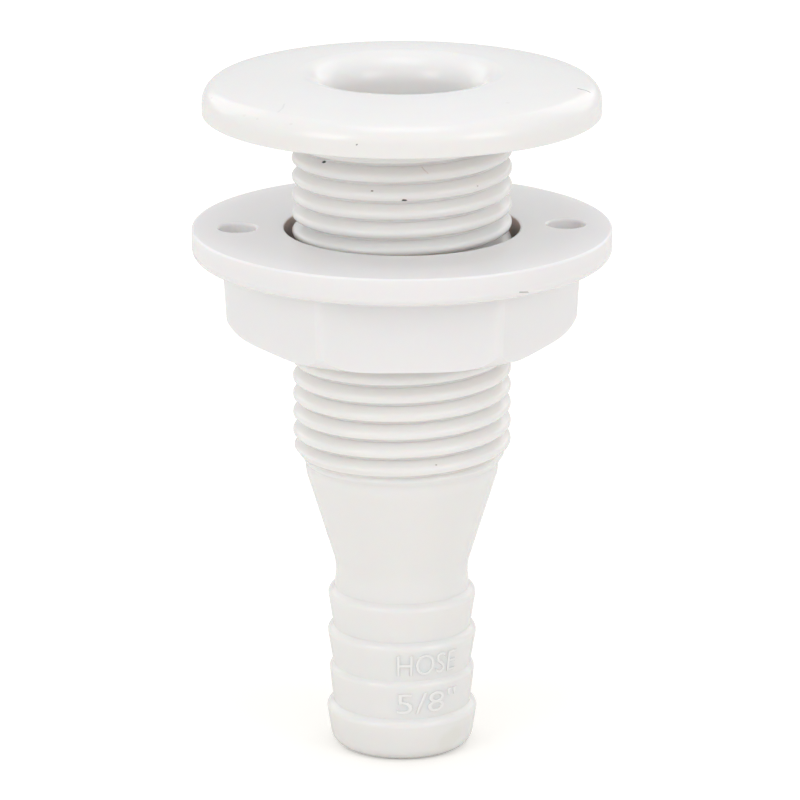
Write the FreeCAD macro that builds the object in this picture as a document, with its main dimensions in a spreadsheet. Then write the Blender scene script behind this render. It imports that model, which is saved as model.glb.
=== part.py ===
"""Thru-hull fitting for a small boat: a moulded body and the flanged lock nut that clamps it.

The body is one moulding: a mushroom head that seats outside the hull, a threaded shank through the
hull, a reducing cone and a barbed tail for the hose. The waterway runs through all of it. The nut is
the other moulding: a round flange with two screw holes on a hexagon, run up the thread from inside.

Frame: the origin is the centre of the head's seat, the face that lies against the hull. +Z points
out of the hull along the waterway, so the shank and the tail are at negative Z. Millimetres.
"""
import FreeCAD, Part
import math
import os

import Sketcher

SIZES = {
    # mushroom head
    "head_radius": (23.0, "outside of the head"),
    "head_crown": (4.8, "seat to the highest ring of the dome"),
    "dome_radius": (42.0, "radius of the dome's section"),
    "rim_fillet": (2.4, "rounding between dome and rim"),
    "seat_edge_fillet": (0.25, "rounding between rim and seat"),
    "seat_relief_depth": (0.3, "recess in the seat round the shank, which takes the sealant"),
    "seat_relief_clearance": (0.3, "recess outside the thread's crest"),
    "mouth_fillet": (3.3, "flare of the waterway's mouth"),
    # threaded shank
    "thread_radius": (12.7, "outside of the thread, a one inch shank"),
    "thread_pitch": (2.17, "rise of the thread in one turn"),
    "thread_buried": (2.37, "height of the thread's upper end above the seat, inside the head"),
    "flank_angle": (25.0, "angle of each flank from square, in degrees"),
    "crest_rounding": (0.57, "rounding of the thread's crest"),
    "thread_root_flat": (0.09, "flat left between two turns of the thread"),
    "thread_root_depth": (0.3, "how far the ridge's foot is sunk into the core"),
    "shank_length": (41.6, "seat to the foot of the thread's lead-in"),
    "lead_in_height": (2.2, "height over which the thread fades out at its lower end"),
    # collar, cone and neck
    "collar_length": (1.0, "plain length below the thread"),
    "cone_length": (11.6, "height of the reducing cone"),
    "cone_shoulder_fillet": (3.0, "rounding between collar and cone"),
    "neck_radius": (7.67, "narrowest place, under the cone"),
    "neck_length": (2.7, "cone to the first barb"),
    "neck_flare": (0.25, "how much the neck widens before the first barb"),
    "neck_fillet": (6.0, "hollow between cone and neck"),
    # hose barb
    "barb_pitch": (4.7, "from one barb to the next"),
    "barb_root_radius": (8.1, "foot of each barb's taper"),
    "barb_bevel": (0.5, "fall of each shoulder from root to crest"),
    "barb_fillet": (0.8, "rounding of each shoulder"),
    "barb_1_radius": (8.72, "crest of the barb next to the neck"),
    "barb_2_radius": (8.8, "crest of the second barb"),
    "barb_3_radius": (8.55, "crest of the third barb"),
    "barb_4_radius": (8.9, "crest of the end barb"),
    "end_barb_length": (5.3, "length of the end barb"),
    "tail_radius": (8.15, "end barb at the open end, before its rounding"),
    "tail_fillet": (1.8, "rounding of the open end"),
    # waterway
    "shank_wall": (2.5, "wall between the thread's root and the waterway"),
    "tail_bore_radius": (6.0, "waterway through the tail"),
    "tail_bore_fillet": (0.5, "rounding of the bore at the open end"),
    # flanged lock nut
    "hull_gap": (13.4, "seat to the nut's flange, as the nut stands"),
    "flange_radius": (24.3, "outside of the flange"),
    "flange_thickness": (3.3, "thickness of the flange"),
    "flange_top_fillet": (0.3, "rounding of the flange's edge at the hull side"),
    "flange_back_fillet": (1.0, "rounding of the flange's back edge"),
    "hex_across_flats": (35.4, "hexagon at its free end"),
    "hex_height": (9.4, "hexagon below the flange"),
    "hex_draft": (3.0, "mould draft of the hexagon, in degrees"),
    "hex_edge_fillet": (1.2, "rounding of the hexagon's six edges"),
    "hex_face_radius": (17.7, "circle on the end face where the turned rounding of the corners starts"),
    "hex_corner_rounding": (2.9, "radius of the turned rounding of the corners"),
    "thread_clearance": (0.3, "nut's bore outside the thread's crest"),
    "counterbore_clearance": (0.95, "counterbore outside the thread's crest"),
    "counterbore_depth": (4.0, "depth of the counterbore"),
    "bore_edge_fillet": (0.25, "rounding of the nut's bore edges"),
    "screw_circle_radius": (19.0, "centre of the nut to each screw hole"),
    "screw_hole_radius": (2.2, "screw hole in the flange"),
    "screw_edge_fillet": (0.3, "rounding of the screw holes' edges"),
}
BARBS = 4
SCREW_HOLES = 2
TOUCH = 1e-3  # two places nearer than this are one place
START, END, CENTRE = 1, 2, 3  # a sketch curve's points, as the sketcher numbers them
ORIGIN = (-1, START)
X_AXIS = -1


class Size:
    """A length with the spreadsheet formula it comes from, so a sketch starts where the sheet puts it."""

    def __init__(self, value, formula):
        self.value = float(value)
        self.formula = formula

    def __add__(self, other):
        other = as_size(other)
        return Size(self.value + other.value, f"({self.formula} + {other.formula})")

    def __sub__(self, other):
        other = as_size(other)
        return Size(self.value - other.value, f"({self.formula} - {other.formula})")

    def __mul__(self, other):
        other = as_size(other)
        return Size(self.value * other.value, f"({self.formula} * {other.formula})")

    def __truediv__(self, other):
        other = as_size(other)
        return Size(self.value / other.value, f"({self.formula} / {other.formula})")

    def __neg__(self):
        return Size(-self.value, f"(0 - {self.formula})")


def as_size(value):
    """The value itself if it is a Size already, or a plain number as one."""
    return value if isinstance(value, Size) else Size(value, repr(float(value)))


def size(name):
    """The driving dimension of that name."""
    return Size(SIZES[name][0], f"Sizes.{name}")


def tangent(angle):
    """The tangent of an angle that the sheet holds in degrees."""
    return Size(math.tan(math.radians(angle.value)), f"tan({angle.formula} * 1 deg)")


def one_over_sine(angle):
    """One over the sine of an angle that the sheet holds in degrees."""
    return Size(1 / math.sin(math.radians(angle.value)), f"(1 / sin({angle.formula} * 1 deg))")


def ridge_height():
    """Half the height of the thread's ridge at its foot, so that the root flat is left beside it."""
    return (size("thread_pitch") - size("thread_root_flat")) / 2


def core_radius():
    """Root of the thread: the flanks, carried on to a point past the round crest, fix how deep it lies."""
    point = size("thread_radius") + size("crest_rounding") * (one_over_sine(size("flank_angle")) - 1)
    return point - ridge_height() / tangent(size("flank_angle"))


def shank_bore():
    """Radius of the waterway through head and shank."""
    return core_radius() - size("shank_wall")


def make_sheet(doc):
    """The spreadsheet of driving dimensions: name, value and meaning in each row."""
    sheet = doc.addObject("Spreadsheet::Sheet", "Sizes")
    for row, (name, (value, meaning)) in enumerate(SIZES.items(), start=1):
        sheet.set(f"A{row}", name)
        sheet.set(f"B{row}", str(value))
        sheet.set(f"C{row}", meaning)
        sheet.setAlias(f"B{row}", name)
    doc.recompute()


def origin_plane(body, role):
    """One of the body's own origin planes, such as XY_Plane."""
    return next(f for f in body.Origin.OriginFeatures if f.Role == role)


def origin_axis(body, role):
    """One of the body's own origin axes, such as Z_Axis."""
    return next(f for f in body.Origin.OriginFeatures if f.Role == role)


def new_sketch(body, name, role, height=None):
    """A sketch on one of the body's origin planes, raised along its normal by height."""
    sketch = body.newObject("Sketcher::SketchObject", name)
    sketch.AttachmentSupport = [(origin_plane(body, role), "")]
    sketch.MapMode = "FlatFace"
    if height is not None:
        sketch.setExpression("AttachmentOffset.Base.z", height.formula)
    return sketch


def bind(sketch, constraint, formula):
    """Adds a dimension whose value follows the sheet."""
    index = sketch.addConstraint(constraint)
    sketch.setExpression(f"Constraints[{index}]", formula)


def pin_point(sketch, curve, end, x, y):
    """Fixes one point of a curve at x, y from the sketch's origin."""
    for kind, place in (("DistanceX", x), ("DistanceY", y)):
        bind(sketch, Sketcher.Constraint(kind, *ORIGIN, curve, end, place.value), place.formula)


def vector(x, y):
    return FreeCAD.Vector(x.value, y.value, 0)


def add_lines(sketch, points):
    """Joined straight lines through points that are each a pair of Size values; returns their numbers."""
    curves = []
    for (x, y), (next_x, next_y) in zip(points, points[1:]):
        curve = sketch.addGeometry(Part.LineSegment(vector(x, y), vector(next_x, next_y)))
        pin_point(sketch, curve, START, x, y)
        if curves:
            join(sketch, curves[-1], END, curve, START)
        curves.append(curve)
    pin_point(sketch, curves[-1], END, *points[-1])
    return curves


def join(sketch, curve, end, other, other_end, kind="Coincident"):
    """Joins the ends of two curves; kind Tangent also makes them run on smoothly."""
    sketch.addConstraint(Sketcher.Constraint(kind, curve, end, other, other_end))


def close(sketch, first, last):
    """A straight line from the end of curve last to the start of curve first."""
    ends = [sketch.getPoint(last, END), sketch.getPoint(first, START)]
    curve = sketch.addGeometry(Part.LineSegment(*ends))
    join(sketch, last, END, curve, START)
    join(sketch, curve, END, first, START)


def add_arc(sketch, centre, radius, start, end):
    """An arc of the given radius, turned anticlockwise from angle start to angle end, in degrees."""
    circle = Part.Circle(FreeCAD.Vector(*centre, 0), FreeCAD.Vector(0, 0, 1), radius.value)
    curve = sketch.addGeometry(Part.ArcOfCircle(circle, math.radians(start), math.radians(end)))
    bind(sketch, Sketcher.Constraint("Radius", curve, radius.value), radius.formula)
    return curve


def add_circle(sketch, x, radius):
    """A circle on the sketch's X axis, x from the origin."""
    circle = Part.Circle(vector(x, as_size(0)), FreeCAD.Vector(0, 0, 1), radius.value)
    curve = sketch.addGeometry(circle)
    pin_point(sketch, curve, CENTRE, x, as_size(0))
    bind(sketch, Sketcher.Constraint("Radius", curve, radius.value), radius.formula)


def feature_of(body, kind, name, sketch):
    """A PartDesign feature made from a sketch."""
    feature = body.newObject(f"PartDesign::{kind}", name)
    feature.Profile = sketch
    sketch.Visibility = False
    return feature


def turned(body, kind, name, sketch):
    """A full turn of the sketch about the Z axis: a Revolution adds, a Groove cuts."""
    feature = feature_of(body, kind, name, sketch)
    feature.ReferenceAxis = (sketch, ["V_Axis"])
    feature.Angle = 360
    body.Document.recompute()
    return feature


def fillet(body, name, radius, chosen):
    """Rounds the edges of the body's present shape for which chosen(edge) is true."""
    base = body.Tip
    edges = [f"Edge{n}" for n, edge in enumerate(base.Shape.Edges, start=1) if chosen(edge)]
    if not edges:
        raise RuntimeError(f"{name}: no edge to round")
    feature = body.newObject("PartDesign::Fillet", name)
    feature.Base = (base, edges)
    feature.setExpression("Radius", radius.formula)
    body.Document.recompute()
    return feature


def ring(*places):
    """Chooses the circular edges about Z with one of the (radius, height) pairs."""

    def chosen(edge):
        curve = edge.Curve
        if not isinstance(curve, Part.Circle) or math.hypot(curve.Center.x, curve.Center.y) > TOUCH:
            return False
        gaps = [
            max(abs(curve.Radius - radius.value), abs(curve.Center.z - height.value))
            for radius, height in places
        ]
        return min(gaps) < TOUCH

    return chosen


def barbs():
    """Crest radius and shoulder height of each barb, from the neck down."""
    first = -(size("shank_length") + size("collar_length") + size("cone_length") + size("neck_length"))
    return [
        (size(f"barb_{number + 1}_radius"), first - size("barb_pitch") * number) for number in range(BARBS)
    ]


def body_profile(body):
    """Section of the body without its thread: head, shank, cone and barbs outside, waterway inside."""
    core, neck, root = core_radius(), size("neck_radius"), size("barb_root_radius")
    bore, tail_bore, mouth = shank_bore(), size("tail_bore_radius"), size("mouth_fillet")
    rim, crown, dome = size("head_radius"), size("head_crown"), size("dome_radius")
    seat = as_size(0)
    collar_end = -(size("shank_length") + size("collar_length"))
    cone_end = collar_end - size("cone_length")
    tail_end = barbs()[-1][1] - size("end_barb_length")
    relief, recess = size("thread_radius") + size("seat_relief_clearance"), size("seat_relief_depth")
    points = [(rim, seat), (relief, seat), (relief, recess), (core, recess)]
    points += [(core, collar_end), (neck, cone_end)]
    foot = neck + size("neck_flare")
    for crest, shoulder in barbs():
        points += [(foot, shoulder), (crest, shoulder - size("barb_bevel"))]
        foot = root
    points += [(size("tail_radius"), tail_end), (tail_bore, tail_end), (tail_bore, cone_end)]
    points += [(bore, -size("shank_length")), (bore, crown - mouth)]

    sketch = new_sketch(body, "body_section", "XZ_Plane")
    lines = add_lines(sketch, points)
    crown_ring = bore + mouth
    flare = add_arc(sketch, (crown_ring.value, (crown - mouth).value), mouth, 90, 180)
    join(sketch, lines[-1], END, flare, END)
    pin_point(sketch, flare, START, crown_ring, crown)
    reach = math.degrees(math.acos((rim - crown_ring).value / dome.value))
    top = add_arc(sketch, (crown_ring.value, (crown - dome).value), dome, reach, 90)
    join(sketch, flare, START, top, END)
    sketch.addConstraint(Sketcher.Constraint("Vertical", top, CENTRE, top, END))
    bind(sketch, Sketcher.Constraint("DistanceX", *ORIGIN, top, START, rim.value), rim.formula)
    side = sketch.addGeometry(Part.LineSegment(sketch.getPoint(top, START), vector(rim, seat)))
    join(sketch, top, START, side, START)
    join(sketch, side, END, lines[0], START)
    return sketch


def dome_drop():
    """How far the dome falls from its crown to the side of the rim."""
    reach = (size("head_radius") - shank_bore() - size("mouth_fillet")).value
    dome = size("dome_radius").value
    return dome - math.sqrt(dome**2 - reach**2)


def round_body(body):
    """The body's moulded roundings."""
    rim, seat = size("head_radius"), as_size(0)
    collar_end = -(size("shank_length") + size("collar_length"))
    cone_end = collar_end - size("cone_length")
    tail_end = barbs()[-1][1] - size("end_barb_length")
    crests = [(crest, shoulder - size("barb_bevel")) for crest, shoulder in barbs()]
    fillet(body, "rim_rounding", size("rim_fillet"), ring((rim, size("head_crown") - dome_drop())))
    fillet(body, "seat_edge_rounding", size("seat_edge_fillet"), ring((rim, seat)))
    fillet(body, "cone_shoulder", size("cone_shoulder_fillet"), ring((core_radius(), collar_end)))
    fillet(body, "neck_hollow", size("neck_fillet"), ring((size("neck_radius"), cone_end)))
    fillet(body, "barb_rounding", size("barb_fillet"), ring(*crests))
    fillet(body, "tail_rounding", size("tail_fillet"), ring((size("tail_radius"), tail_end)))
    fillet(body, "tail_bore_rounding", size("tail_bore_fillet"), ring((size("tail_bore_radius"), tail_end)))


def thread_section(body):
    """Section of the thread's ridge where it starts: two flanks and a round crest, its foot in the core."""
    core, crest, rounding = core_radius(), size("thread_radius"), size("crest_rounding")
    start, half = size("thread_buried"), ridge_height()
    inner = core - size("thread_root_depth")
    sketch = new_sketch(body, "thread_section", "XZ_Plane")
    foot = [(core, start + half), (inner, start + half), (inner, start - half), (core, start - half)]
    lines = add_lines(sketch, foot)
    turn = 90 - size("flank_angle").value
    centre = crest - rounding
    arc = add_arc(sketch, (centre.value, start.value), rounding, -turn, turn)
    pin_point(sketch, arc, CENTRE, centre, start)
    for line, line_end, arc_end in ((lines[-1], END, START), (lines[0], START, END)):
        ends = [sketch.getPoint(line, line_end), sketch.getPoint(arc, arc_end)]
        flank = sketch.addGeometry(Part.LineSegment(*ends))
        join(sketch, line, line_end, flank, START)
        join(sketch, flank, END, arc, arc_end, "Tangent")
    return sketch


def cut_thread(body):
    """The right-hand thread, run down from inside the head, and the lead-in that fades its lower end."""
    ridge = feature_of(body, "AdditiveHelix", "thread", thread_section(body))
    ridge.ReferenceAxis = (ridge.Profile[0], ["V_Axis"])
    ridge.Mode = "pitch-height-angle"
    ridge.setExpression("Pitch", "Sizes.thread_pitch")
    run = size("thread_buried") + size("shank_length") - size("thread_pitch") / 2
    ridge.setExpression("Height", run.formula)
    ridge.Reversed = True
    body.Document.recompute()

    core, foot, rise = core_radius(), -size("shank_length"), size("lead_in_height")
    depth = size("thread_radius") - core
    sketch = new_sketch(body, "lead_in_section", "XZ_Plane")
    wide, high = core + depth * 2, foot + rise * 2
    lines = add_lines(sketch, [(core, foot), (wide, high), (wide, foot)])
    close(sketch, lines[0], lines[-1])
    turned(body, "Groove", "lead_in", sketch)


def fitting_body(doc):
    """Head, threaded shank, cone and hose barb, moulded in one with the waterway through them."""
    body = doc.addObject("PartDesign::Body", "fitting_body")
    turned(body, "Revolution", "turned_shape", body_profile(body))
    round_body(body)
    cut_thread(body)
    return body


def add_hexagon(sketch, across_flats):
    """A regular hexagon round the origin with corners on the X axis."""
    corner = across_flats.value / math.sqrt(3)
    points = [
        FreeCAD.Vector(corner * math.cos(math.radians(60 * k)), corner * math.sin(math.radians(60 * k)), 0)
        for k in range(6)
    ]
    sides = [
        sketch.addGeometry(Part.LineSegment(points[k], points[(k + 1) % 6])) for k in range(6)
    ]
    for k, side in enumerate(sides):
        join(sketch, side, END, sides[(k + 1) % 6], START)
        if k:
            sketch.addConstraint(Sketcher.Constraint("Equal", sides[0], side))
    radius = across_flats / 3**0.5
    round_it = sketch.addGeometry(
        Part.Circle(FreeCAD.Vector(0, 0, 0), FreeCAD.Vector(0, 0, 1), corner), True
    )
    sketch.addConstraint(Sketcher.Constraint("Coincident", round_it, CENTRE, *ORIGIN))
    bind(sketch, Sketcher.Constraint("Radius", round_it, corner), radius.formula)
    for side in sides:
        sketch.addConstraint(Sketcher.Constraint("PointOnObject", side, START, round_it))
    sketch.addConstraint(Sketcher.Constraint("PointOnObject", sides[0], START, X_AXIS))


def pad(body, name, sketch, length, upwards):
    """A Pad along Z from its sketch."""
    feature = feature_of(body, "Pad", name, sketch)
    feature.setExpression("Length", length.formula)
    feature.Reversed = not upwards
    body.Document.recompute()
    return feature


def bored(body, name, x, radius, depth):
    """A round pocket down from the flange's face; returns it after checking that it removes material."""
    sketch = new_sketch(body, f"{name}_section", "XY_Plane")
    add_circle(sketch, x, radius)
    before = body.Shape.Volume
    feature = feature_of(body, "Pocket", name, sketch)
    feature.setExpression("Length", depth.formula)
    body.Document.recompute()
    if body.Shape.Volume > before - TOUCH:
        raise RuntimeError(f"{name} cuts nothing")
    return feature


def round_corners(body, end):
    """Rounds the hexagon's corners over at its free end, as on a lathe."""
    face, rounding, reach = size("hex_face_radius"), size("hex_corner_rounding"), size("hex_across_flats")
    sketch = new_sketch(body, "corner_rounding_section", "XZ_Plane")
    top = end + rounding
    lines = add_lines(sketch, [(face, end), (reach, end), (reach, top), (face + rounding, top)])
    arc = add_arc(sketch, (face.value, top.value), rounding, 270, 360)
    join(sketch, lines[-1], END, arc, END)
    join(sketch, arc, START, lines[0], START)
    turned(body, "Groove", "corner_rounding", sketch)


def flanged_lock_nut(doc):
    """Round flange and hexagon in one, bored to run over the thread; its flange's face is at Z = 0."""
    flange, thick = size("flange_radius"), size("flange_thickness")
    height = thick + size("hex_height")
    centre = as_size(0)
    body = doc.addObject("PartDesign::Body", "flanged_lock_nut")

    hexagon = new_sketch(body, "hexagon_section", "XY_Plane", -height)
    add_hexagon(hexagon, size("hex_across_flats"))
    block = pad(body, "hexagon", hexagon, height - thick / 2, upwards=True)
    block.setExpression("TaperAngle", "Sizes.hex_draft")
    doc.recompute()
    fillet(body, "hexagon_edges", size("hex_edge_fillet"), upright)
    round_corners(body, -height)

    disc = new_sketch(body, "flange_section", "XY_Plane")
    add_circle(disc, centre, flange)
    pad(body, "flange", disc, thick, upwards=False)
    fillet(body, "flange_edge", size("flange_top_fillet"), ring((flange, centre)))
    fillet(body, "flange_back", size("flange_back_fillet"), ring((flange, -thick)))

    bore = size("thread_radius") + size("thread_clearance")
    wide = size("thread_radius") + size("counterbore_clearance")
    bored(body, "bore", centre, bore, height)
    bored(body, "counterbore", centre, wide, size("counterbore_depth"))
    fillet(body, "bore_edges", size("bore_edge_fillet"), ring((wide, centre), (bore, -height)))

    hole = bored(body, "screw_hole", size("screw_circle_radius"), size("screw_hole_radius"), thick)
    holes = body.newObject("PartDesign::PolarPattern", "screw_holes")
    holes.Originals = [hole]
    holes.Axis = (origin_axis(body, "Z_Axis"), [""])
    holes.Angle = 360
    holes.Occurrences = SCREW_HOLES
    body.Tip = holes
    doc.recompute()
    fillet(body, "screw_hole_edges", size("screw_edge_fillet"), screw_rims(-thick))

    body.setExpression("Placement.Base.z", "0 - Sizes.hull_gap")
    doc.recompute()
    return body


def upright(edge):
    """Chooses edges that run up the piece, not round it."""
    return edge.BoundBox.ZLength > TOUCH


def screw_rims(back):
    """Chooses the rims of the screw holes at the flange's face."""

    def chosen(edge):
        curve = edge.Curve
        if not isinstance(curve, Part.Circle):
            return False
        right_size = abs(curve.Radius - size("screw_hole_radius").value) < TOUCH
        return right_size and curve.Center.z > back.value / 2

    return chosen


def check_document(doc):
    """Stops if any object of the document failed or any sub-part's shape is not one valid solid."""
    for item in doc.Objects:
        if "Invalid" in item.State or "Error" in item.State:
            raise RuntimeError(f"{item.Label} failed: {item.State}")
        if item.isDerivedFrom("PartDesign::Body"):
            shape = item.Shape
            if shape.isNull() or not shape.isValid() or len(shape.Solids) != 1:
                raise RuntimeError(f"{item.Label} is not one valid solid")


def main():
    doc = FreeCAD.newDocument("thru_hull_fitting")
    make_sheet(doc)
    parts = [fitting_body(doc), flanged_lock_nut(doc)]
    check_document(doc)
    os.makedirs("parts", exist_ok=True)
    for part in parts:
        part.Shape.exportStep(f"parts/{part.Label}.step")
        box = part.Shape.BoundBox
        print(f"{part.Label}: {part.Shape.Volume:.1f} mm3, Z {box.ZMin:.2f} to {box.ZMax:.2f}")


main()
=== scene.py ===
"""Looks of the thru-hull fitting: moulded nylon body with its thread and hose tail, and the lock nut."""

import math

import bmesh
import bpy
import numpy as np
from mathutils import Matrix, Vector


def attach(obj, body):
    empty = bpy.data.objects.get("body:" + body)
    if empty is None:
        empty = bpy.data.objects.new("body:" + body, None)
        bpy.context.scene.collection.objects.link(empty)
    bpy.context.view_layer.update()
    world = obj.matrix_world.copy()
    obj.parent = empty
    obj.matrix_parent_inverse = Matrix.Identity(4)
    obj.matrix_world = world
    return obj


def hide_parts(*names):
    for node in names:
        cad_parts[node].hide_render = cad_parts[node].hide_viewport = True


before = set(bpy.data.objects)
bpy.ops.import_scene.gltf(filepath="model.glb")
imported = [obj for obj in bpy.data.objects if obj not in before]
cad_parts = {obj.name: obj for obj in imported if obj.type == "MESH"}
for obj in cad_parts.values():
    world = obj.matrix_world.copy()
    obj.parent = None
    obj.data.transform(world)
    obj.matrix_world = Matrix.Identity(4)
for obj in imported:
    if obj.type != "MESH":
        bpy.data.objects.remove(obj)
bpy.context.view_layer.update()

MM = 0.001
TURN = 2 * math.pi

# Levels of the studio: the sky as light, and how much brighter the floor is shown near and far.
SKY_LIGHT, FLOOR_GLOW, FAR_GLOW = 0.71, 0.27, 0.8

# Sizes of the mouldings in millimetres, from the same drawing as the solid model.
HEAD_RADIUS, HEAD_CROWN, DOME_RADIUS = 23.0, 4.8, 42.0
THREAD_RADIUS, PITCH, CREST_ROUNDING, FLANK = 12.7, 2.17, 0.57, math.radians(25)
THREAD_TOP, SHANK_LENGTH, LEAD_IN = 2.37, 41.6, 2.2
POINT = THREAD_RADIUS + CREST_ROUNDING * (1 / math.sin(FLANK) - 1)
CORE = POINT - (PITCH - 0.09) / 2 / math.tan(FLANK)
BORE, MOUTH = CORE - 2.5, 3.3
RECESS, RECESS_RADIUS = 0.3, THREAD_RADIUS + 0.3
COLLAR_END, CONE_END = -42.6, -54.2
NECK, BARB_ROOT, TAIL_FOOT, TAIL_BORE = 7.67, 8.1, 8.15, 6.0
BARB_CRESTS, BARB_PITCH, SHOULDER, FIRST_BARB, TAIL_END = (8.72, 8.8, 8.55, 8.9), 4.7, 0.5, -56.9, -76.3
LETTERS_LENGTH, LETTERS_TALL, LETTERS_HIGH, LETTERS_DOWN, LETTERS_ANGLE = 7.9, 2.7, 0.12, 3.55, -71.0
COUNTERBORE, COUNTERBORE_FLOOR = 13.65, -18.0


def rounded(corners, step=0.36):
    """An open profile through (r, z, rounding) corners: straight runs joined by arcs of that rounding.

    An arc starts rounding * tan(half the turn) before its corner and turns about the point that lies
    that rounding away from both runs.
    """
    points = np.array([corner[:2] for corner in corners], float)
    runs = [points[:1]]
    for k in range(1, len(corners) - 1):
        here, rounding = points[k], corners[k][2]
        before, after = points[k - 1] - here, points[k + 1] - here
        before, after = before / np.linalg.norm(before), after / np.linalg.norm(after)
        turn = math.pi - math.acos(np.clip(before @ after, -1, 1))
        if rounding == 0 or turn < 1e-4:
            runs.append(here[None])
            continue
        reach = rounding * math.tan(turn / 2)
        inward = (before + after) / np.linalg.norm(before + after)
        centre = here + inward * rounding / math.cos(turn / 2)
        count = max(3, int(math.degrees(turn) / 9), int(rounding * turn / step))
        start, end = here + before * reach - centre, here + after * reach - centre
        share = np.linspace(0, 1, count + 1)[:, None]
        runs.append(centre + (start * np.sin((1 - share) * turn) + end * np.sin(share * turn)) / math.sin(turn))
    return np.concatenate(runs + [points[-1:]])


def fine(profile, longest):
    """The open profile with points added so that no run is longer than longest."""
    start, end = profile[:-1], profile[1:]
    counts = np.maximum(1, np.ceil(np.linalg.norm(end - start, axis=1) / longest)).astype(int)
    share = np.concatenate([np.arange(n) / n for n in counts])[:, None]
    filled = np.repeat(start, counts, axis=0) * (1 - share) + np.repeat(end, counts, axis=0) * share
    return np.concatenate([filled, profile[-1:]])


def close_seams(mesh):
    """Joins points that lie in one place, drops the faces that this empties, and turns faces outward."""
    shape = bmesh.new()
    shape.from_mesh(mesh)
    bmesh.ops.remove_doubles(shape, verts=shape.verts, dist=1e-6)
    bmesh.ops.recalc_face_normals(shape, faces=shape.faces)
    shape.to_mesh(mesh)
    shape.free()


def new_piece(name, vertices, faces, body, material):
    """A smooth-shaded mesh from arrays in millimetres, riding on a body of the frame."""
    mesh = bpy.data.meshes.new(name)
    mesh.from_pydata((vertices * MM).tolist(), [], faces.tolist())
    mesh.polygons.foreach_set("use_smooth", np.ones(len(faces), bool))
    mesh.materials.append(material)
    close_seams(mesh)
    piece = bpy.data.objects.new(name, mesh)
    bpy.context.scene.collection.objects.link(piece)
    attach(piece, body)
    return piece


def turned(profile, steps):
    """The open profile turned about Z: point (i, j) is (r_i cos a_j, r_i sin a_j, z_i)."""
    angle = np.arange(steps) * TURN / steps
    r, z = profile[:, :1], np.repeat(profile[:, 1:], steps, axis=1)
    vertices = np.stack([r * np.cos(angle), r * np.sin(angle), z], axis=-1).reshape(-1, 3)
    i, j = np.meshgrid(np.arange(len(profile) - 1), np.arange(steps), indexing="ij")
    on = (j + 1) % steps
    faces = np.stack([i * steps + j, (i + 1) * steps + j, (i + 1) * steps + on, i * steps + on], axis=-1)
    return vertices, faces.reshape(-1, 4)


def body_profile():
    """Section of the body in (r, z), without the shank: from its foot down the tail, up the waterway,
    over the dome and back under the head to the recess round the shank. Corners are (r, z, rounding).
    """
    corners = [(CORE, -SHANK_LENGTH, 0), (CORE, COLLAR_END, 3.0), (NECK, CONE_END, 6.0)]
    foot, height = NECK + 0.25, FIRST_BARB
    for crest in BARB_CRESTS:
        corners += [(foot, height, 0.12), (crest, height - SHOULDER, 0.8)]
        foot, height = BARB_ROOT, height - BARB_PITCH
    corners += [(TAIL_FOOT, TAIL_END, 1.8), (TAIL_BORE, TAIL_END, 0.5)]
    corners += [(TAIL_BORE, CONE_END, 1.0), (BORE, -SHANK_LENGTH, 1.0), (BORE, HEAD_CROWN, MOUTH)]
    reach = np.append(np.linspace(BORE + MOUTH, HEAD_RADIUS - 2.2, 9)[1:-1], HEAD_RADIUS)
    dome = HEAD_CROWN - DOME_RADIUS + np.sqrt(DOME_RADIUS**2 - (reach - BORE - MOUTH) ** 2)
    corners += [(r, z, 0) for r, z in zip(reach[:-1], dome)]
    corners += [(HEAD_RADIUS, dome[-1], 2.4), (HEAD_RADIUS, 0, 0.25), (RECESS_RADIUS, 0, 0.08)]
    corners += [(RECESS_RADIUS, RECESS, 0.1), (THREAD_RADIUS, RECESS, 0)]
    return fine(rounded(corners), 1.5)


def ridge(root_rounding=0.12):
    """One turn of thread in (height, radius), from valley to valley, with heights that fall.

    The crest and the roots are arcs, tangent to straight flanks that lean FLANK from square.
    """
    half, lean = PITCH / 2, math.pi / 2 - FLANK
    turn = np.linspace(lean, 0, 5)
    crest = np.stack([CREST_ROUNDING * np.sin(turn), THREAD_RADIUS + CREST_ROUNDING * (np.cos(turn) - 1)], axis=1)
    valley = POINT - half / math.tan(FLANK) + root_rounding / math.sin(FLANK)
    bend = np.linspace(0, lean, 3)
    root = np.stack([half - root_rounding * np.sin(bend), valley - root_rounding * np.cos(bend)], axis=1)
    flank = np.linspace(root[-1], crest[0], 3)[1:-1]
    upper = np.concatenate([root, flank, crest])
    return np.concatenate([upper, upper[-2:0:-1] * (-1, 1)])


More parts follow.
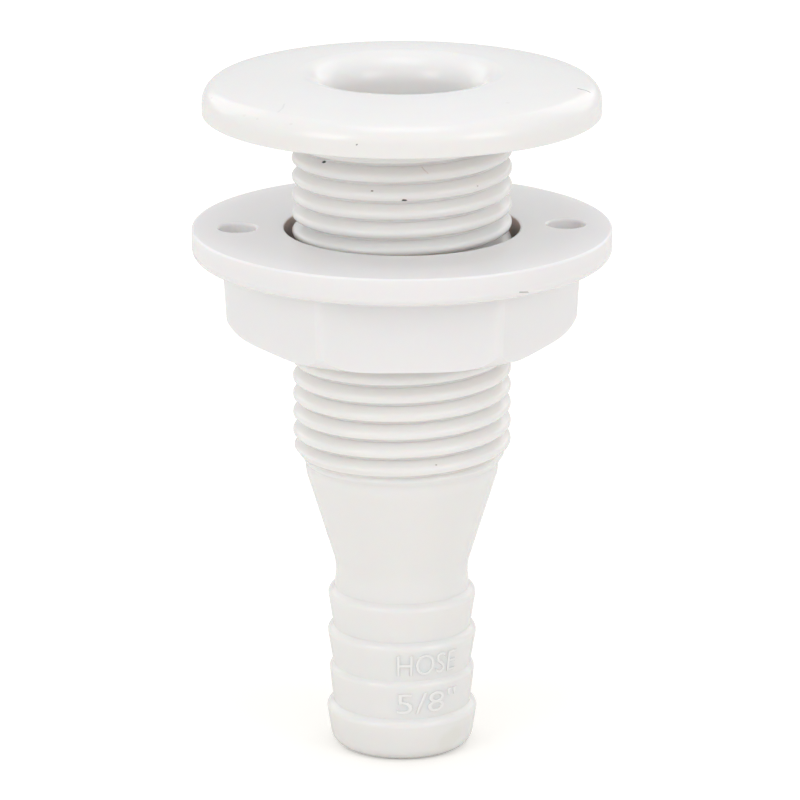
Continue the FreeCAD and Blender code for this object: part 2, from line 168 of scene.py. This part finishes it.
def shank(steps):
    """The thread as one skin: point (i, j) has angle a_j and height b_i + pitch * j / steps.

    b_i runs down the ridge's section, turn after turn, so a row climbs like a right-hand thread, and
    row i ends where the row one turn higher begins. Heights stay between the seat's recess and the
    thread's foot, and the radius is the section's there, but no more than the lead-in cone's.
    """
    section = ridge()
    turns = math.ceil((THREAD_TOP + PITCH / 2 + SHANK_LENGTH) / PITCH) + 1
    base = (THREAD_TOP - PITCH * np.arange(turns)[:, None] + section[:, 0]).reshape(-1, 1)
    lift = PITCH * np.arange(steps) / steps
    z = np.clip(base + lift, -SHANK_LENGTH, RECESS)
    height = (z - THREAD_TOP - lift + PITCH / 2) % PITCH - PITCH / 2
    r = np.interp(height, section[::-1, 0], section[::-1, 1], period=PITCH)
    r = np.minimum(r, CORE + (THREAD_RADIUS - CORE) * (z + SHANK_LENGTH) / LEAD_IN)
    angle = TURN * np.arange(steps) / steps
    vertices = np.stack([r * np.cos(angle), r * np.sin(angle), z], axis=-1).reshape(-1, 3)
    i, j = np.meshgrid(np.arange(len(base) - 1), np.arange(steps), indexing="ij")
    last = j == steps - 1
    near, far = (np.where(last, np.maximum(row - len(section), 0), row) * steps for row in (i, i + 1))
    on = (j + 1) % steps
    faces = np.stack([i * steps + j, (i + 1) * steps + j, far + on, near + on], axis=-1)
    return vertices, faces.reshape(-1, 4)


def linear(code):
    """The linear RGBA of an sRGB hex colour."""
    channels = [int(code[k : k + 2], 16) / 255 for k in (1, 3, 5)]
    return [c / 12.92 if c <= 0.04045 else ((c + 0.055) / 1.055) ** 2.4 for c in channels] + [1.0]


def node(tree, kind, settings=(), inputs=(), links=()):
    """Adds a node: settings are its properties, inputs its sockets' values, links its sockets' sources."""
    made = tree.nodes.new(kind)
    for name, value in dict(settings).items():
        setattr(made, name, value)

    def socket(name):
        usable = [s for s in made.inputs if s.enabled]
        return usable[name] if isinstance(name, int) else next(s for s in usable if s.name == name)

    for name, value in dict(inputs).items():
        socket(name).default_value = value
    for name, output in dict(links).items():
        tree.links.new(output, socket(name))
    return made


def place_on(r, degrees, z):
    """The point in metres at radius r mm, turned degrees from +X, at height z mm."""
    angle = math.radians(degrees)
    return Vector((r * math.cos(angle), r * math.sin(angle), z)) * MM


def mark(tree, place, start, end, width):
    """A mask that is 1 on the line from start to end and fades to 0 at width mm from it.

    The nearest point of the line to p is start + clamp((p - start).d / d.d) d with d = end - start.
    """
    a, d = place_on(*start), place_on(*end) - place_on(*start)
    share = tuple(d / d.length_squared)
    away = node(tree, "ShaderNodeVectorMath", {"operation": "SUBTRACT"}, {1: tuple(a)}, {0: place})
    along = node(tree, "ShaderNodeVectorMath", {"operation": "DOT_PRODUCT"}, {1: share}, {0: away.outputs["Vector"]})
    held = node(tree, "ShaderNodeClamp", links={"Value": along.outputs["Value"]})
    reach = node(
        tree, "ShaderNodeVectorMath", {"operation": "SCALE"}, {0: tuple(d)}, {"Scale": held.outputs["Result"]}
    )
    off = node(
        tree, "ShaderNodeVectorMath", {"operation": "DISTANCE"},
        links={0: away.outputs["Vector"], 1: reach.outputs["Vector"]},
    )
    return node(
        tree, "ShaderNodeMapRange", {"interpolation_type": "SMOOTHSTEP"},
        {"From Min": 0.4 * width * MM, "From Max": width * MM, "To Min": 1.0, "To Max": 0.0},
        {"Value": off.outputs["Value"]},
    ).outputs["Result"]


def moulded_nylon(name, colour, shade, marks=(), roughness=0.18, depth=0.6, bore_shade=None):
    """White polyamide, injection moulded: glossy, faintly translucent, with a slow flow mottling.

    The polished mould leaves a clear sheen. Slow changes of tone of 10 to 20 mm come from the flow of
    the melt, and a fine grain of about 0.3 mm from the mould's skin. Marks are (start, end, width,
    colour) lines: black specks burnt into the melt, and scratches from handling that hold dirt.
    Light passes depth deep into the clean plastic, and not into a mark. The bore's painted shade is (radius,
    foot, colour): inside that radius and above that foot, in the counterbore where light gets in only through
    the plastic, the skin is painted that darker, warmer colour as painted shade.
    """
    material = bpy.data.materials.new(name)
    material.use_nodes = True
    tree = material.node_tree
    tree.nodes.clear()
    place = node(tree, "ShaderNodeTexCoord").outputs["Object"]
    flow = node(
        tree, "ShaderNodeTexNoise", inputs={"Scale": 60, "Detail": 2, "Roughness": 0.4}, links={"Vector": place}
    )
    grain = node(tree, "ShaderNodeTexNoise", inputs={"Scale": 3200, "Detail": 2}, links={"Vector": place})
    tone = node(
        tree, "ShaderNodeMix", {"data_type": "RGBA"}, {"A": linear(shade), "B": linear(colour)},
        {"Factor": flow.outputs["Fac"]},
    ).outputs[2]
    # Painted shade: a darker, warmer colour laid over the skin inside the counterbore.
    if bore_shade is not None:
        radius, foot, painted_shade_colour = bore_shade
        flat = node(tree, "ShaderNodeVectorMath", {"operation": "MULTIPLY"}, {1: (1, 1, 0)}, {0: place})
        away = node(tree, "ShaderNodeVectorMath", {"operation": "LENGTH"}, links={0: flat.outputs["Vector"]})
        inside = node(
            tree, "ShaderNodeMapRange",
            inputs={"From Min": (radius - 0.05) * MM, "From Max": (radius + 0.1) * MM, "To Min": 1.0, "To Max": 0.0},
            links={"Value": away.outputs["Value"]},
        )
        height = node(tree, "ShaderNodeSeparateXYZ", links={"Vector": place})
        above = node(
            tree, "ShaderNodeMapRange", inputs={"From Min": (foot - 0.3) * MM, "From Max": (foot + 0.3) * MM},
            links={"Value": height.outputs["Z"]},
        )
        deep = node(
            tree, "ShaderNodeMath", {"operation": "MULTIPLY"},
            links={0: inside.outputs["Result"], 1: above.outputs["Result"]},
        )
        tone = node(
            tree, "ShaderNodeMix", {"data_type": "RGBA"}, {"B": linear(painted_shade_colour)},
            {"A": tone, "Factor": deep.outputs["Value"]},
        ).outputs[2]
    dents, covered = grain.outputs["Fac"], None
    for start, end, width, ink in marks:
        mask = mark(tree, place, start, end, width)
        tone = node(
            tree, "ShaderNodeMix", {"data_type": "RGBA"}, {"B": linear(ink)}, {"A": tone, "Factor": mask}
        ).outputs[2]
        dents = node(tree, "ShaderNodeMath", {"operation": "SUBTRACT"}, links={0: dents, 1: mask}).outputs["Value"]
        covered = mask if covered is None else node(
            tree, "ShaderNodeMath", {"operation": "MAXIMUM"}, links={0: covered, 1: mask}
        ).outputs["Value"]
    rough = node(
        tree, "ShaderNodeMapRange", inputs={"To Min": roughness - 0.03, "To Max": roughness + 0.03},
        links={"Value": flow.outputs["Fac"]},
    )
    bump = node(tree, "ShaderNodeBump", inputs={"Strength": 0.12, "Distance": 0.00003}, links={"Height": dents})
    depth_left = node(
        tree, "ShaderNodeMath", {"operation": "MULTIPLY_ADD"}, {0: 0.0, 1: -depth, 2: depth},
        {} if covered is None else {0: covered},
    )
    skin = node(
        tree, "ShaderNodeBsdfPrincipled",
        inputs={"IOR": 1.5, "Subsurface Scale": 0.0012, "Subsurface Radius": (1.0, 0.66, 0.48)},
        links={"Base Color": tone, "Roughness": rough.outputs["Result"], "Normal": bump.outputs["Normal"],
               "Subsurface Weight": depth_left.outputs["Value"]},
    )
    node(tree, "ShaderNodeOutputMaterial", links={"Surface": skin.outputs["BSDF"]})
    return material


BODY_MARKS = [
    ((20.6, -16.3, 3.9), (21.9, -15.2, 3.45), 0.11, "#6E6A66"),  # scratch on the head
    ((21.1, -133.8, 3.8), (20.1, -134.5, 4.0), 0.16, "#EBEAE9"),  # scuff on the head
    ((20.1, -134.5, 4.0), (19.1, -136.5, 4.2), 0.16, "#EAE9E8"),
    ((22.4, -168.5, 3.0), (22.4, -167.8, 3.1), 0.18, "#EAE8E6"),  # faint specks round the rim
    ((22.5, -145.0, 2.85), (22.5, -144.4, 2.9), 0.22, "#EEECEA"),
    ((22.5, -139.0, 2.9), (22.5, -138.6, 2.9), 0.15, "#ECEAE8"),
    ((22.4, -126.6, 3.0), (22.4, -126.0, 3.1), 0.15, "#ECEAE8"),
    ((23.0, -105.5, 1.55), (23.0, -105.3, 1.6), 0.1, "#9C9894"),
    ((18.2, -52.6, 4.35), (18.3, -52.0, 4.35), 0.18, "#EAE8E6"),
    ((11.5, -143.8, -4.05), (11.5, -142.8, -4.1), 0.27, "#0C0A09"),  # burnt specks in the thread
    ((11.5, -81.5, -3.7), (12.0, -80.7, -3.95), 0.11, "#E4DDD8"),
    ((12.0, -80.7, -3.95), (12.5, -79.3, -4.25), 0.11, "#E4DDD8"),
    ((12.2, -109.1, -6.35), (12.2, -108.7, -6.4), 0.16, "#8E8177"),
    ((12.5, -92.0, -7.25), (12.5, -91.1, -7.3), 0.28, "#0C0A09"),
    ((12.65, -50.3, -6.4), (12.65, -49.9, -6.4), 0.12, "#D2CCC7"),
    ((12.3, -74.4, -38.8), (12.3, -74.0, -38.8), 0.12, "#A39C95"),
    ((8.5, -54.0, -74.2), (8.55, -47.0, -73.8), 1.7, "#EFEEE9"),  # stain near the open end
]
NUT_MARKS = [
    ((24.3, -59.9, -15.9), (24.25, -56.9, -16.1), 0.12, "#BDBBBA"),  # where the gate was trimmed off
    ((24.3, -56.9, -16.0), (24.2, -51.5, -16.3), 0.16, "#F9F8F6"),
]
body_nylon = moulded_nylon("moulded_white_nylon_body", "#F4F3F2", "#F1F0EE", BODY_MARKS)
# The nut's counterbore gets painted shade: a darker, warmer colour inside it, above its floor.
nut_nylon = moulded_nylon(
    "moulded_white_nylon_nut", "#F4F3F4", "#F1F0F1", NUT_MARKS, bore_shade=(COUNTERBORE, COUNTERBORE_FLOOR, "#CDBBAF")
)
letter_nylon = moulded_nylon("moulded_white_nylon_letters", "#F8F7F6", "#F5F4F3", depth=0.0)


def fitting_moulding(material, steps=176):
    """The whole body as one closed skin: the turned section and, between its two ends, the shank."""
    turned_vertices, turned_faces = turned(body_profile(), steps)
    shank_vertices, shank_faces = shank(steps)
    rows, count = len(turned_vertices) // steps, len(turned_vertices)
    j = np.arange(steps)
    on = (j + 1) % steps
    top, foot = (rows - 1) * steps, count + len(shank_vertices) - steps
    under_head = np.stack([top + j, count + j, count + on, top + on], axis=-1)
    at_foot = np.stack([foot + j, j, on, foot + on], axis=-1)
    return new_piece(
        "fitting_moulding", np.concatenate([turned_vertices, shank_vertices]),
        np.concatenate([turned_faces, shank_faces + count, under_head, at_foot]),
        "fitting", material,
    )


def raised_letters(name, text, crest, height, material):
    """Round-edged raised letters that lie round the tail on a barb's taper.

    A letter's flat point (x, y, up) goes to angle middle + x / r, height y, and radius r + up, where
    r falls in a straight line from the barb's crest to its foot.
    """
    curve = bpy.data.curves.new(name, "FONT")
    curve.body, curve.resolution_u, curve.bevel_depth, curve.bevel_resolution = text, 4, 0.02, 2
    curve.offset = -0.018
    flat = bpy.data.objects.new(name, curve)
    bpy.context.scene.collection.objects.link(flat)
    mesh = bpy.data.meshes.new_from_object(flat.evaluated_get(bpy.context.evaluated_depsgraph_get()))
    bpy.data.objects.remove(flat)
    points = np.empty(len(mesh.vertices) * 3)
    mesh.vertices.foreach_get("co", points)
    x, y, up = points.reshape(-1, 3).T
    x = (x - (x.min() + x.max()) / 2) / np.ptp(x) * LETTERS_LENGTH
    y = height - LETTERS_DOWN + (y - y.min()) / np.ptp(y) * LETTERS_TALL
    taper = (BARB_ROOT - crest) * (height - y) / (BARB_PITCH - SHOULDER)
    r = crest + taper + up / up.max() * LETTERS_HIGH
    angle = math.radians(LETTERS_ANGLE) + x / crest
    vertices = np.stack([r * np.cos(angle), r * np.sin(angle), y], axis=1) * MM
    mesh.vertices.foreach_set("co", vertices.ravel())
    mesh.materials.clear()
    mesh.materials.append(material)
    close_seams(mesh)
    piece = bpy.data.objects.new(name, mesh)
    bpy.context.scene.collection.objects.link(piece)
    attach(piece, "fitting")


body_piece = fitting_moulding(body_nylon)
raised_letters("raised_word", "HOSE", BARB_CRESTS[1], FIRST_BARB - BARB_PITCH - SHOULDER, letter_nylon)
raised_letters("raised_size", "5/8\"", BARB_CRESTS[2], FIRST_BARB - 2 * BARB_PITCH - SHOULDER, letter_nylon)
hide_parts("fitting_body")

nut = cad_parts["flanged_lock_nut"]
for slot in nut.material_slots:
    slot.material = nut_nylon


def floor_material():
    """Pale painted board: plain white, brightened for the camera alone, so the shadow on it stays.

    It is brightened more from 0.3 m out, where the lamps reach less, and it is clear from below, so
    that the open end of the tail can be looked at.
    """
    material = bpy.data.materials.new("matt_white_board")
    material.use_nodes = True
    tree = material.node_tree
    tree.nodes.clear()
    seen = node(tree, "ShaderNodeLightPath")
    place = node(tree, "ShaderNodeTexCoord").outputs["Object"]
    away = node(tree, "ShaderNodeVectorMath", {"operation": "LENGTH"}, links={0: place})
    level = node(
        tree, "ShaderNodeMapRange",
        inputs={"From Min": 0.3, "From Max": 1.2, "To Min": FLOOR_GLOW, "To Max": FAR_GLOW},
        links={"Value": away.outputs["Value"]},
    )
    shown = node(
        tree, "ShaderNodeMath", {"operation": "MULTIPLY"},
        links={0: level.outputs["Result"], 1: seen.outputs["Is Camera Ray"]},
    )
    glow = node(
        tree, "ShaderNodeEmission", inputs={"Color": (1, 1, 1, 1)}, links={"Strength": shown.outputs["Value"]}
    )
    board = node(tree, "ShaderNodeBsdfDiffuse", inputs={"Color": linear("#EFEDE9")})
    both = node(tree, "ShaderNodeAddShader", links={0: board.outputs["BSDF"], 1: glow.outputs["Emission"]})
    below = node(tree, "ShaderNodeNewGeometry").outputs["Backfacing"]
    clear = node(tree, "ShaderNodeBsdfTransparent")
    surface = node(
        tree, "ShaderNodeMixShader", links={0: below, 1: both.outputs["Shader"], 2: clear.outputs["BSDF"]}
    )
    node(tree, "ShaderNodeOutputMaterial", links={"Surface": surface.outputs["Shader"]})
    return material


def add_floor():
    """A wide round board just under the open end of the tail."""
    steps, radius = 96, 1.6
    angle = np.arange(steps) * TURN / steps
    z = (TAIL_END - 0.02) * MM
    vertices = np.stack([radius * np.cos(angle), radius * np.sin(angle), np.full(steps, z)], axis=1)
    mesh = bpy.data.meshes.new("floor")
    mesh.from_pydata(vertices.tolist(), [], [list(range(steps))])
    mesh.materials.append(floor_material())
    floor = bpy.data.objects.new("floor", mesh)
    bpy.context.scene.collection.objects.link(floor)


def add_world():
    """An even pale sky: plain white to the camera, softer as light."""
    world = bpy.data.worlds.new("studio")
    bpy.context.scene.world = world
    world.use_nodes = True
    tree = world.node_tree
    tree.nodes.clear()
    seen = node(tree, "ShaderNodeLightPath")
    level = node(
        tree, "ShaderNodeMapRange", inputs={"To Min": SKY_LIGHT, "To Max": 1.0},
        links={"Value": seen.outputs["Is Camera Ray"]},
    )
    sky = node(
        tree, "ShaderNodeBackground", inputs={"Color": (1, 1, 1, 1)}, links={"Strength": level.outputs["Result"]}
    )
    node(tree, "ShaderNodeOutputWorld", links={"Surface": sky.outputs["Background"]})


def add_lamp(name, place, size, watts, target=(0, 0, -0.03), tint="#FFFFFF"):
    """A square soft box at place, facing target."""
    lamp = bpy.data.lights.new(name, "AREA")
    lamp.shape, lamp.size, lamp.energy, lamp.color = "SQUARE", size, watts, linear(tint)[:3]
    holder = bpy.data.objects.new(name, lamp)
    holder.location = place
    holder.rotation_euler = (Vector(target) - Vector(place)).to_track_quat("-Z", "Y").to_euler()
    bpy.context.scene.collection.objects.link(holder)


def add_camera():
    """A long lens a little above the head, turned slightly to the left of the nut's screw holes."""
    distance, rise, side = 0.624, math.radians(16.22), math.radians(-2.8)
    aim_height, aim_left = -0.0344, 0.000227
    back = Vector((math.sin(side) * math.cos(rise), -math.cos(side) * math.cos(rise), math.sin(rise)))
    right = Vector((math.cos(side), math.sin(side), 0))
    target = Vector((0, 0, aim_height)) - right * aim_left
    camera = bpy.data.objects.new("camera", bpy.data.cameras.new("camera"))
    camera.data.sensor_width, camera.data.lens = 36, 240.75
    camera.data.clip_start, camera.data.clip_end = 0.01, 10
    camera.location = target + back * distance
    camera.rotation_euler = (-back).to_track_quat("-Z", "Y").to_euler()
    bpy.context.scene.collection.objects.link(camera)
    bpy.context.scene.camera = camera


add_floor()
add_world()
add_lamp("overhead", (0.0, -0.1, 0.75), 0.42, 0.92, tint="#F3F6FF")
add_lamp("left_front", (-0.65, -0.6, 0.38), 0.42, 1.34)
add_lamp("right_front", (0.65, -0.6, 0.38), 0.42, 1.19)
add_lamp("left_back", (-0.55, 0.65, 0.4), 0.6, 0.85)
add_lamp("right_back", (0.55, 0.65, 0.4), 0.6, 0.85)
add_camera()
bpy.context.scene.view_settings.view_transform = "Standard"
